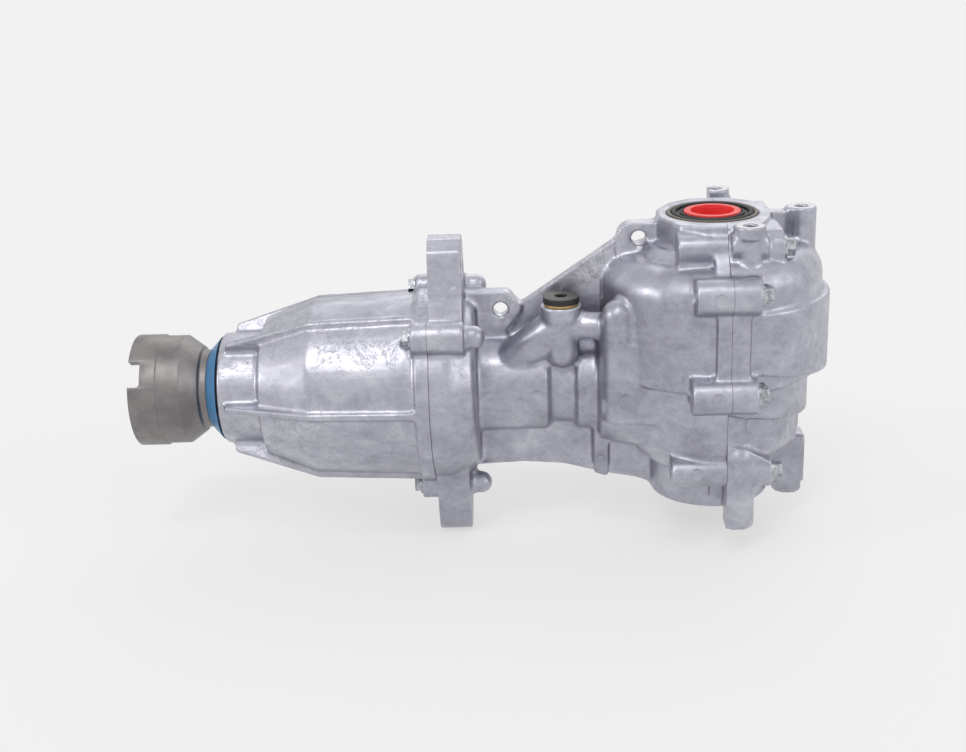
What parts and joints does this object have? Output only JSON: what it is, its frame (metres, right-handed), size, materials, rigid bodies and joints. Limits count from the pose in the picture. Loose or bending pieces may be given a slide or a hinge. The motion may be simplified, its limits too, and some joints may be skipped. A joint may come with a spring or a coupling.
{
  "type": "rear differential",
  "caption": "Rear final drive with an electrically controlled clutch coupling in a ribbed bell, a bevel gear pair, an open differential and bolted die-cast housings.",
  "frame": {"origin": "centre of the lower axle bore's mouth, on the axle axis", "axes": "+X along the pinion axis from the input flange towards the rear cover; +Z along the axle axis towards the mouth that holds the red plug; the filler plug is on the -Y side"},
  "size_m": [0.5676, 0.1972, 0.267],
  "materials": {
    "cast_aluminium": "bright pressure die-cast aluminium, satin with soft flow marks",
    "zinc_plate": "bright zinc-plated steel",
    "steel_flange": "turned steel with a thin brown-grey phosphate",
    "blue_shield": "blue painted steel",
    "black_rubber": "matt black nitrile rubber",
    "seal_metal": "brown-grey bonded seal case",
    "red_plastic": "soft red moulded transport plug",
    "black_plug": "black oxide steel",
    "brass_washer": "soft brass sealing washer",
    "machined_steel": "machined and ground steel",
    "bearing_steel": "ground bearing steel",
    "case_iron": "grey cast iron",
    "friction_paper": "steel plate with brown friction facing",
    "bronze": "bearing bronze",
    "coil_resin": "resin-filled coil in a steel yoke"
  },
  "bodies": {
    "housing": {"main_casing": "cast_aluminium", "rear_cover": "cast_aluminium", "coupling_housing": "cast_aluminium", "bell_bolts": "zinc_plate", "cover_bolts": "zinc_plate", "cover_dowels": "machined_steel", "filler_plug": "black_plug", "filler_washer": "brass_washer", "upper_axle_seal": "seal_metal", "upper_seal_lip": "black_rubber", "lower_axle_seal": "seal_metal", "lower_seal_lip": "black_rubber", "input_oil_seal": "black_rubber", "input_bearing_outer": "bearing_steel", "solenoid_coil": "coil_resin", "pinion_oil_seal": "black_rubber", "side_bearing_shims": "machined_steel", "head_bearing_cup": "bearing_steel", "tail_bearing_cup": "bearing_steel", "upper_bearing_cup": "bearing_steel", "lower_bearing_cup": "bearing_steel"},
    "input": {"input_flange": "steel_flange", "dust_shield": "blue_shield", "input_nut": "machined_steel", "input_bearing_inner": "bearing_steel", "input_bearing_balls": "bearing_steel", "coupling_drum": "machined_steel", "outer_clutch_plates": "machined_steel", "pilot_clutch_plates": "machined_steel", "armature": "machined_steel", "coupling_rotor": "machined_steel", "rotor_bush": "bronze"},
    "pinion": {"drive_pinion": "machined_steel", "pinion_nut": "machined_steel", "pinion_spacer": "machined_steel", "seal_sleeve": "machined_steel", "head_bearing_cone": "bearing_steel", "head_bearing_rollers": "bearing_steel", "tail_bearing_cone": "bearing_steel", "tail_bearing_rollers": "bearing_steel", "clutch_hub": "machined_steel", "inner_clutch_plates": "friction_paper", "main_cam": "machined_steel", "control_cam": "machined_steel", "cam_balls": "bearing_steel"},
    "carrier": {"ring_gear": "machined_steel", "ring_gear_bolts": "machined_steel", "differential_case": "case_iron", "cross_pin": "machined_steel", "cross_pin_lock": "machined_steel", "thrust_washers": "machined_steel", "upper_bearing_cone": "bearing_steel", "upper_bearing_rollers": "bearing_steel", "lower_bearing_cone": "bearing_steel", "lower_bearing_rollers": "bearing_steel"},
    "upper_side": {"upper_side_gear": "machined_steel"},
    "lower_side": {"lower_side_gear": "machined_steel"},
    "rear_spider": {"rear_spider_gear": "machined_steel"},
    "front_spider": {"front_spider_gear": "machined_steel"},
    "plug": {"axle_plug": "red_plastic"}
  },
  "joints": [
    {"name": "input_spin", "type": "hinge", "parent": "housing", "child": "input", "pos_m": [-0.38, 0, 0.097], "axis": [1, 0, 0], "continuous": true},
    {"name": "carrier_spin", "type": "hinge", "parent": "housing", "child": "carrier", "pos_m": [0, 0, 0.097], "axis": [0, 0, 1], "continuous": true},
    {"name": "pinion_spin", "type": "hinge", "parent": "housing", "child": "pinion", "pos_m": [-0.13, 0, 0.097], "axis": [1, 0, 0], "continuous": true},
    {"name": "upper_side_spin", "type": "hinge", "parent": "carrier", "child": "upper_side", "pos_m": [0, 0, 0.113], "axis": [0, 0, 1], "continuous": true},
    {"name": "lower_side_spin", "type": "hinge", "parent": "carrier", "child": "lower_side", "pos_m": [0, 0, 0.113], "axis": [0, 0, 1], "continuous": true},
    {"name": "rear_spider_spin", "type": "hinge", "parent": "carrier", "child": "rear_spider", "pos_m": [0.02, 0, 0.113], "axis": [1, 0, 0], "continuous": true},
    {"name": "front_spider_spin", "type": "hinge", "parent": "carrier", "child": "front_spider", "pos_m": [-0.02, 0, 0.113], "axis": [1, 0, 0], "continuous": true},
    {"name": "axle_plug_pull", "type": "slide", "parent": "housing", "child": "plug", "axis": [0, 0, 1], "range_m": [0, 0.03]}
  ],
  "couplings": [
    {"joint": "pinion_spin", "follows": "carrier_spin", "ratio": 2.4667},
    {"joint": "lower_side_spin", "follows": "upper_side_spin", "ratio": -1},
    {"joint": "rear_spider_spin", "follows": "upper_side_spin", "ratio": -1.6},
    {"joint": "front_spider_spin", "follows": "upper_side_spin", "ratio": 1.6}
  ]
}
